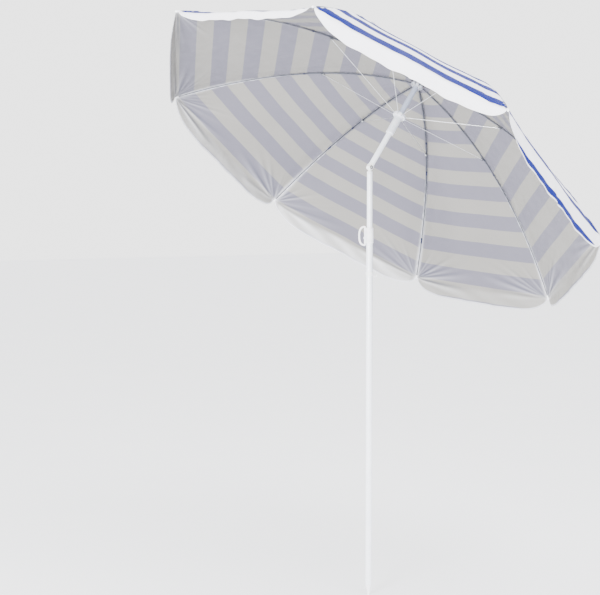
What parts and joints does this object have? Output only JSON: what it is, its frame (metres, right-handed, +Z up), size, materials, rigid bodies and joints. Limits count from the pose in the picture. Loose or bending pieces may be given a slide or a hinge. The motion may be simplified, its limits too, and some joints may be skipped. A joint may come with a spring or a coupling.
{
  "type": "beach umbrella",
  "caption": "Tilting beach umbrella with a round ribbed canopy, sliding runner, telescoping white pole, lock clip and pointed ground end.",
  "frame": {"origin": "tip of the ground point, on the pole axis", "axes": "+Z up along the pole, +X the way the head leans, +Y along the tilt hinge"},
  "size_m": [1.2891, 1.5946, 1.9428],
  "materials": {
    "white_enamel": "gloss white enamel",
    "white_plastic": "white moulded plastic",
    "ivory_plastic": "ivory moulded plastic",
    "dark_plastic": "dark moulded plastic",
    "grey_steel": "dark grey spring wire",
    "bright_steel": "plated wire and rivets",
    "cloth": "printed cloth with a silver coated inside"
  },
  "bodies": {
    "base": {"ground_point": "white_plastic", "lower_pole": "white_enamel", "telescope_collar": "white_plastic", "carry_hook": "white_plastic"},
    "clip": {"lock_clip": "white_plastic", "lock_pin": "bright_steel"},
    "middle": {"middle_pole": "white_enamel", "tilt_tongue": "white_plastic"},
    "head": {"tilt_fork": "white_plastic", "tilt_pivot_pin": "bright_steel", "tilt_button_ring": "dark_plastic", "upper_pole": "white_enamel", "crown_notch": "ivory_plastic", "notch_wire": "bright_steel", "crown_cap": "white_plastic"},
    "button": {"tilt_button": "bright_steel"},
    "runner": {"runner": "ivory_plastic", "runner_wire": "bright_steel"},
    "rib_arm_1": {"rib_1": "grey_steel", "rib_joint_1": "bright_steel", "rib_tip_1": "white_plastic", "canopy_panel_1": "cloth"},
    "strut_1": {"stretcher_1": "bright_steel"},
    "rib_arm_2": {"rib_2": "grey_steel", "rib_joint_2": "bright_steel", "rib_tip_2": "white_plastic", "canopy_panel_2": "cloth"},
    "strut_2": {"stretcher_2": "bright_steel"},
    "rib_arm_3": {"rib_3": "grey_steel", "rib_joint_3": "bright_steel", "rib_tip_3": "white_plastic", "canopy_panel_3": "cloth"},
    "strut_3": {"stretcher_3": "bright_steel"},
    "rib_arm_4": {"rib_4": "grey_steel", "rib_joint_4": "bright_steel", "rib_tip_4": "white_plastic", "canopy_panel_4": "cloth"},
    "strut_4": {"stretcher_4": "bright_steel"},
    "rib_arm_5": {"rib_5": "grey_steel", "rib_joint_5": "bright_steel", "rib_tip_5": "white_plastic", "canopy_panel_5": "cloth"},
    "strut_5": {"stretcher_5": "bright_steel"},
    "rib_arm_6": {"rib_6": "grey_steel", "rib_joint_6": "bright_steel", "rib_tip_6": "white_plastic", "canopy_panel_6": "cloth"},
    "strut_6": {"stretcher_6": "bright_steel"},
    "rib_arm_7": {"rib_7": "grey_steel", "rib_joint_7": "bright_steel", "rib_tip_7": "white_plastic", "canopy_panel_7": "cloth"},
    "strut_7": {"stretcher_7": "bright_steel"},
    "rib_arm_8": {"rib_8": "grey_steel", "rib_joint_8": "bright_steel", "rib_tip_8": "white_plastic", "canopy_panel_8": "cloth"},
    "strut_8": {"stretcher_8": "bright_steel"}
  },
  "joints": [
    {"name": "telescope", "type": "slide", "parent": "base", "child": "middle", "axis": [0, 0, 1], "range_m": [-0.165, 0.2]},
    {"name": "tilt", "type": "hinge", "parent": "middle", "child": "head", "pos_m": [0, 0, 1.451], "axis": [0, 1, 0], "range_deg": [-36.4, 0]},
    {"name": "runner_slide", "type": "slide", "parent": "head", "child": "runner", "axis": [0.5934, 0, 0.8049], "range_m": [-0.12, 0]},
    {"name": "lock_clip_pull", "type": "slide", "parent": "base", "child": "clip", "axis": [-0.8007, 0.599, 0], "range_m": [0, 0.008], "stiffness_N_per_m": 600},
    {"name": "tilt_button_press", "type": "slide", "parent": "head", "child": "button", "axis": [0, 1, 0], "range_m": [0, 0.0014], "stiffness_N_per_m": 900},
    {"name": "rib_hinge_1", "type": "hinge", "parent": "head", "child": "rib_arm_1", "pos_m": [0.22315, 0.00914, 1.72753], "axis": [0.4085, -0.8616, -0.3012], "range_deg": [-10.95, 0], "deforming": ["canopy_panel_1"]},
    {"name": "stretcher_hinge_1", "type": "hinge", "parent": "rib_arm_1", "child": "strut_1", "pos_m": [0.40609, 0.17325, 1.50615], "axis": [-0.4085, 0.8616, 0.3012], "range_deg": [-22.01, 0]},
    {"name": "rib_hinge_2", "type": "hinge", "parent": "head", "child": "rib_arm_2", "pos_m": [0.21429, 0.01743, 1.73406], "axis": [0.7793, -0.2504, -0.5745], "range_deg": [-10.95, 0], "deforming": ["canopy_panel_2"]},
    {"name": "stretcher_hinge_2", "type": "hinge", "parent": "rib_arm_2", "child": "strut_2", "pos_m": [0.23814, 0.33049, 1.62997], "axis": [-0.7793, 0.2504, 0.5745], "range_deg": [-22.01, 0]},
    {"name": "rib_hinge_3", "type": "hinge", "parent": "head", "child": "rib_arm_3", "pos_m": [0.20331, 0.01551, 1.74216], "axis": [0.6935, 0.5075, -0.5113], "range_deg": [-10.95, 0], "deforming": ["canopy_panel_3"]},
    {"name": "stretcher_hinge_3", "type": "hinge", "parent": "rib_arm_3", "child": "strut_3", "pos_m": [0.02989, 0.29413, 1.78351], "axis": [-0.6935, -0.5075, 0.5113], "range_deg": [-22.01, 0]},
    {"name": "rib_hinge_4", "type": "hinge", "parent": "head", "child": "rib_arm_4", "pos_m": [0.19664, 0.00451, 1.74708], "axis": [0.2015, 0.9681, -0.1486], "range_deg": [-10.95, 0], "deforming": ["canopy_panel_4"]},
    {"name": "stretcher_hinge_4", "type": "hinge", "parent": "rib_arm_4", "child": "strut_4", "pos_m": [-0.09666, 0.08547, 1.87681], "axis": [-0.2015, -0.9681, 0.1486], "range_deg": [-22.01, 0]},
    {"name": "rib_hinge_5", "type": "hinge", "parent": "head", "child": "rib_arm_5", "pos_m": [0.19818, -0.00914, 1.74594], "axis": [-0.4085, 0.8616, 0.3012], "range_deg": [-10.95, 0], "deforming": ["canopy_panel_5"]},
    {"name": "stretcher_hinge_5", "type": "hinge", "parent": "rib_arm_5", "child": "strut_5", "pos_m": [-0.0674, -0.17325, 1.85523], "axis": [0.4085, -0.8616, -0.3012], "range_deg": [-22.01, 0]},
    {"name": "rib_hinge_6", "type": "hinge", "parent": "head", "child": "rib_arm_6", "pos_m": [0.20704, -0.01743, 1.73941], "axis": [-0.7793, 0.2504, 0.5745], "range_deg": [-10.95, 0], "deforming": ["canopy_panel_6"]},
    {"name": "stretcher_hinge_6", "type": "hinge", "parent": "rib_arm_6", "child": "strut_6", "pos_m": [0.10055, -0.33049, 1.73141], "axis": [0.7793, -0.2504, -0.5745], "range_deg": [-22.01, 0]},
    {"name": "rib_hinge_7", "type": "hinge", "parent": "head", "child": "rib_arm_7", "pos_m": [0.21802, -0.01551, 1.73132], "axis": [-0.6935, -0.5075, 0.5113], "range_deg": [-10.95, 0], "deforming": ["canopy_panel_7"]},
    {"name": "stretcher_hinge_7", "type": "hinge", "parent": "rib_arm_7", "child": "strut_7", "pos_m": [0.3088, -0.29413, 1.57788], "axis": [0.6935, 0.5075, -0.5113], "range_deg": [-22.01, 0]},
    {"name": "rib_hinge_8", "type": "hinge", "parent": "head", "child": "rib_arm_8", "pos_m": [0.22469, -0.00451, 1.7264], "axis": [-0.2015, -0.9681, 0.1486], "range_deg": [-10.95, 0], "deforming": ["canopy_panel_8"]},
    {"name": "stretcher_hinge_8", "type": "hinge", "parent": "rib_arm_8", "child": "strut_8", "pos_m": [0.43535, -0.08547, 1.48458], "axis": [0.2015, 0.9681, -0.1486], "range_deg": [-22.01, 0]}
  ],
  "couplings": [
    {"joint": "rib_hinge_1", "follows": "runner_slide", "rad_per_m": 1.578},
    {"joint": "stretcher_hinge_1", "follows": "runner_slide", "rad_per_m": 3.1861},
    {"joint": "rib_hinge_2", "follows": "runner_slide", "rad_per_m": 1.578},
    {"joint": "stretcher_hinge_2", "follows": "runner_slide", "rad_per_m": 3.1861},
    {"joint": "rib_hinge_3", "follows": "runner_slide", "rad_per_m": 1.578},
    {"joint": "stretcher_hinge_3", "follows": "runner_slide", "rad_per_m": 3.1861},
    {"joint": "rib_hinge_4", "follows": "runner_slide", "rad_per_m": 1.578},
    {"joint": "stretcher_hinge_4", "follows": "runner_slide", "rad_per_m": 3.1861},
    {"joint": "rib_hinge_5", "follows": "runner_slide", "rad_per_m": 1.578},
    {"joint": "stretcher_hinge_5", "follows": "runner_slide", "rad_per_m": 3.1861},
    {"joint": "rib_hinge_6", "follows": "runner_slide", "rad_per_m": 1.578},
    {"joint": "stretcher_hinge_6", "follows": "runner_slide", "rad_per_m": 3.1861},
    {"joint": "rib_hinge_7", "follows": "runner_slide", "rad_per_m": 1.578},
    {"joint": "stretcher_hinge_7", "follows": "runner_slide", "rad_per_m": 3.1861},
    {"joint": "rib_hinge_8", "follows": "runner_slide", "rad_per_m": 1.578},
    {"joint": "stretcher_hinge_8", "follows": "runner_slide", "rad_per_m": 3.1861}
  ]
}
